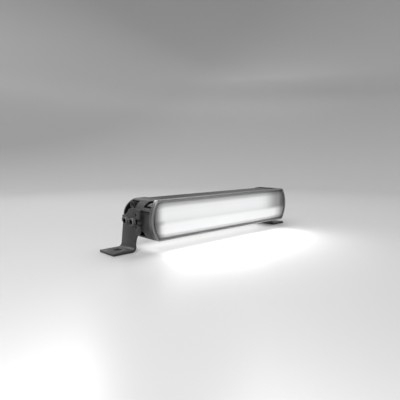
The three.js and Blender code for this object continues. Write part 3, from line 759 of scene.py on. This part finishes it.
def makeScrew(nodeName, plan):
    low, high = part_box(nodeName)
    mirror = low.x < 0
    tip = min(abs(low.x), abs(high.x)) / mm
    top = max(abs(low.x), abs(high.x)) / mm
    under = top - plan["height"]
    soft = plan["round"]
    edges = screwEdges
    shank = plan["shank"]
    head = plan["head"]
    socket = plan["socket"]
    floor = top - plan["deep"]
    rows = [(tip, 0.0, ""), (tip, shank - edges["tip"], ""), (tip + edges["tip"], shank, ""),
            (under, shank, ""), (under, head - edges["under"], ""), (under + edges["under"], head, "")]
    rows += [(x, r, "") for r, x in roundCorner((head - soft, top - soft), soft, 0, 90, 4)]
    rows += [(top, socket + edges["mouth"], ""), (top - edges["lead"], socket, "hex"), (floor, socket, "hex"),
             (floor - edges["lead"], socket * edges["drillShare"], ""), (floor - edges["drill"], 0.0, "")]
    # reach is the share of the head's radius, so the socket keeps below the screw finish's pale rim
    points, reach = turnedPoints(rows, centreOf(nodeName), edges["steps"], phase=edges["turn"])
    return makePiece(nodeName + "_turned", [skin(points)], [nodeName], reach=reach, mirror=mirror)


for side in ("left", "right"):
    makeScrew("pivot_screw_" + side, pivotScrewPlan)
    makeScrew("clamp_screw_" + side, pivotScrewPlan)
    makeScrew("cap_screw_upper_" + side, capScrewPlan)
    makeScrew("cap_screw_lower_" + side, capScrewPlan)


# washers: a stamped ring with one rolled edge
washerPlan = {"outer": 5.4, "inner": 3.35, "roll": 0.3, "break": 0.1, "bevel": 0.15, "steps": 48}


def makeWasher(nodeName, plan):
    low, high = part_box(nodeName)
    inside = min(abs(low.x), abs(high.x)) / mm
    outside = max(abs(low.x), abs(high.x)) / mm
    roll = plan["roll"]
    outer = plan["outer"]
    inner = plan["inner"]
    rows = [(inside, inner, ""), (inside, outer - plan["break"], ""), (inside + plan["break"], outer, "")]
    rows += [(x, r, "") for r, x in roundCorner((outer - roll, outside - roll), roll, 0, 90, 3)]
    rows += [(outside, inner + plan["bevel"], ""), (outside - plan["bevel"], inner, "")]
    points, reach = turnedPoints(rows, centreOf(nodeName), plan["steps"])
    return makePiece(nodeName + "_stamped", [skin(points, rowsLoop=True)], [nodeName], reach=reach,
                     mirror=low.x < 0)


for side in ("left", "right"):
    makeWasher("pivot_washer_" + side, washerPlan)
    makeWasher("clamp_washer_" + side, washerPlan)
print("screws and washers made")


# Cable gland on the back: a hexagon body and a gripped dome nut. Radii are from its own axis, and depths
# are measured back from the front face, both in millimetres.
glandPlan = {"hexCorner": 9.2, "hexCone": 8.5, "thread": 6.0, "neck": 6.8, "bore": 4.2, "seatBore": 5.6,
             "start": 49.6, "wall": 56.8, "hexEnd": 60.5, "seatFloor": 63.5, "neckEnd": 67.5,
             "chamfer": 0.5, "steps": 72}
# "curve" is how far the dome draws in at each depth
domePlan = {"outer": 9.0, "mouth": 6.6, "bore": 4.4, "clear": 7.1, "start": 60.8, "edge": 0.4,
            "gripFrom": 62.0, "gripRise": 0.5, "gripTo": 68.4, "grips": 14, "gripDepth": 0.55, "end": 74.5,
            "lip": 0.2, "ring": 0.5, "curve": ((69.0, 0.15), (70.6, 0.4), (72.2, 1.0), (73.6, 1.8)),
            "coneEnd": 69.6, "coneStart": 67.9, "steps": 140}


# rows whose depth is measured from the front face, placed in the part
def fromFront(rows):
    return [(row[0] + frontLow.y / mm, *row[1:]) for row in rows]


def makeGlandBody(plan):
    chamfer = plan["chamfer"]
    corner = plan["hexCorner"]
    wall = plan["wall"]
    hexEnd = plan["hexEnd"]
    rows = [(plan["start"], plan["bore"], ""), (plan["start"], plan["thread"] - chamfer, ""),
            (plan["start"] + chamfer, plan["thread"], ""), (wall, plan["thread"], ""),
            (wall, plan["hexCone"], "chamfer", corner), (wall + chamfer, corner, "hex"),
            (hexEnd - chamfer, corner, "hex"), (hexEnd, plan["hexCone"], "chamfer", corner),
            (hexEnd, plan["neck"], ""), (plan["neckEnd"], plan["neck"], ""),
            (plan["neckEnd"], plan["seatBore"], ""), (plan["seatFloor"], plan["seatBore"], ""),
            (plan["seatFloor"], plan["bore"], "")]
    points, reach = turnedPoints(fromFront(rows), centreOf("gland_body"), plan["steps"], "y")
    makePiece("gland_body_moulding", [skin(points, rowsLoop=True)], ["gland_body"], sharpAngle=25)


def makeDomeNut(plan):
    outer = plan["outer"]
    bore = plan["bore"]
    end = plan["end"]
    edge = plan["edge"]
    rows = [(plan["start"], plan["clear"], ""), (plan["start"], outer - edge, ""),
            (plan["start"] + edge, outer, ""), (plan["gripFrom"], outer, ""),
            (plan["gripFrom"] + plan["gripRise"], outer, "grip"), (plan["gripTo"], outer, "grip")]
    rows += [(depth, outer - drawn, "") for depth, drawn in plan["curve"]]
    rows += [(end - plan["lip"], plan["mouth"], ""), (end, plan["mouth"] - plan["ring"], ""),
             (end, bore + edge, ""), (end - edge, bore, ""), (plan["coneEnd"], bore, ""),
             (plan["coneStart"], plan["clear"], "")]
    points, reach = turnedPoints(fromFront(rows), centreOf("gland_body"), plan["steps"], "y",
                                 ripple=(plan["grips"], plan["gripDepth"]))
    makePiece("gland_dome_moulding", [skin(points, rowsLoop=True)], ["gland_dome_nut"], sharpAngle=40)


makeGlandBody(glandPlan)
makeDomeNut(domePlan)

# the vent beside it, with a ring groove in its face: "curve" is how far the head draws in at each depth
ventPlan = {"thread": 4.0, "head": 7.5, "start": 51.0, "wall": 56.8, "chamfer": 0.4, "edge": 0.2,
            "gripFrom": 57.4, "gripTo": 59.6, "grips": 10, "gripDepth": 0.5, "end": 62.4, "steps": 100,
            "curve": ((60.2, 0.25), (61.2, 0.7), (61.8, 1.4), (61.9, 2.2), (61.5, 2.5), (61.5, 2.9),
                      (62.0, 3.2))}


def makeVent(plan):
    head = plan["head"]
    edge = plan["edge"]
    start = plan["start"]
    wall = plan["wall"]
    rows = [(start, 0.0, ""), (start, plan["thread"] - plan["chamfer"], ""),
            (start + plan["chamfer"], plan["thread"], ""), (wall, plan["thread"], ""),
            (wall, head - edge, ""), (wall + edge, head, ""), (plan["gripFrom"], head, "grip"),
            (plan["gripTo"], head, "grip")]
    rows += [(depth, head - drawn, "") for depth, drawn in plan["curve"]]
    rows += [(plan["end"], 0.0, "")]
    points, reach = turnedPoints(fromFront(rows), centreOf("vent_plug"), plan["steps"], "y",
                                 ripple=(plan["grips"], plan["gripDepth"]))
    makePiece("vent_plug_moulding", [skin(points)], ["vent_plug"], sharpAngle=40)


makeVent(ventPlan)
print("gland and vent made")


# Pale floor that runs up into a round backdrop. "sink" keeps it just under the mounting surface.
floorPlan = {"reach": 0.95, "curve": 0.55, "wall": 1.2, "flat": (0.0, 0.3, 0.6), "sink": 0.0002,
             "around": 96, "merge": 1e-5, "floor": 0.50, "floorRough": 0.27, "wallGrey": 0.55,
             "change": (0.45, 1.15), "cloud": 3}


def makeFloor(plan):
    finish = Finish("paleFloor", Metallic=0.0)
    place = finish.place()
    cloud = finish.noise(place, (plan["cloud"],) * 3, 3.0, 0.5)
    pale = finish.mix(cloud, grey(plan["floor"] - 0.01), grey(plan["floor"] + 0.01))
    x, y, z = finish.axes(place)
    away = finish.node("ShaderNodeMath", {"operation": "SQRT"}, {0: x * x + y * y})
    finish.feed("Base Color", finish.mix(away.ease(*plan["change"]), pale, grey(plan["wallGrey"])))
    finish.feed("Roughness", plan["floorRough"] + cloud * 0.02)
    # a profile of (distance from the middle, height) turned about the upright axis
    bend = plan["curve"]
    profile = [(distance, 0.0) for distance in plan["flat"]]
    profile += [(plan["reach"] + x, bend + z) for x, z in roundCorner((0, 0), bend, 270, 360, 16)]
    profile += [(plan["reach"] + bend, bend + plan["wall"])]
    angles = np.linspace(0, 2 * math.pi, plan["around"], endpoint=False)
    radius = np.array([row[0] for row in profile])[:, None]
    height = np.array([row[1] for row in profile])[:, None] * np.ones(len(angles))
    points = np.stack([radius * np.cos(angles), radius * np.sin(angles), height - plan["sink"]], axis=2)
    corners, quads = skin(points)
    mesh = bpy.data.meshes.new("floor")
    mesh.from_pydata(corners.tolist(), [], quads[:, ::-1].tolist())
    work = bmesh.new()
    work.from_mesh(mesh)
    bmesh.ops.remove_doubles(work, verts=work.verts, dist=plan["merge"])
    work.to_mesh(mesh)
    work.free()
    mesh.polygons.foreach_set("use_smooth", np.ones(len(mesh.polygons), bool))
    mesh.materials.append(finish.material)
    floor = bpy.data.objects.new("floor", mesh)
    scene.collection.objects.link(floor)


makeFloor(floorPlan)

# Soft studio light. The two glow lights ride on the lamp and no reflection shows them: one stands in
# front of the lens and lights the floor before it, the other lights the floor under the lamp.
softboxes = {
    "overheadSoftbox": {"place": (0.62, 0.08, 1.0), "target": (0, 0, 0.04),
                        "size": (0.9, 0.6), "power": 8.0},
    "sideSoftbox": {"place": (-0.85, -0.40, 0.82), "target": (-0.15, 0, 0.04),
                    "size": (0.6, 0.4), "power": 12.0},
    "rearSoftbox": {"place": (-0.20, 0.80, 0.76), "target": (-0.1, 0, 0.05),
                    "size": (0.9, 0.3), "power": 6.5},
}
glowLights = {
    "lensGlow": {"place": (0, frontLow.y - 0.012, 0.040), "target": (0, frontLow.y - 0.082, 0.0),
                 "size": (0.25, 0.030), "power": 0.55},
    "underGlow": {"place": (0, -0.006, 0.0145), "target": (0, -0.006, 0),
                  "size": (0.275, 0.064), "power": 0.12},
}
skyLevel = 0.15


def addSoftLight(name, plan, hidden=False):
    data = bpy.data.lights.new(name, "AREA")
    data.shape = "RECTANGLE"
    data.size, data.size_y = plan["size"]
    data.energy = plan["power"]
    light = bpy.data.objects.new(name, data)
    light.location = plan["place"]
    offset = [t - p for t, p in zip(plan["target"], plan["place"])]
    flat = math.hypot(offset[0], offset[1])
    light.rotation_euler = (math.atan2(flat, -offset[2]), 0, math.atan2(-offset[0], offset[1]))
    light.visible_camera = False
    light.visible_glossy = not hidden
    scene.collection.objects.link(light)
    return light


for name, plan in softboxes.items():
    addSoftLight(name, plan)
for name, plan in glowLights.items():
    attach(addSoftLight(name, plan, hidden=True), "lamp")
world = bpy.data.worlds.new("studioAir")
world.use_nodes = True
world.node_tree.nodes["Background"].inputs["Color"].default_value = (*grey(skyLevel), 1.0)
scene.world = world
scene.view_settings.view_transform = "Standard"
print("studio set")
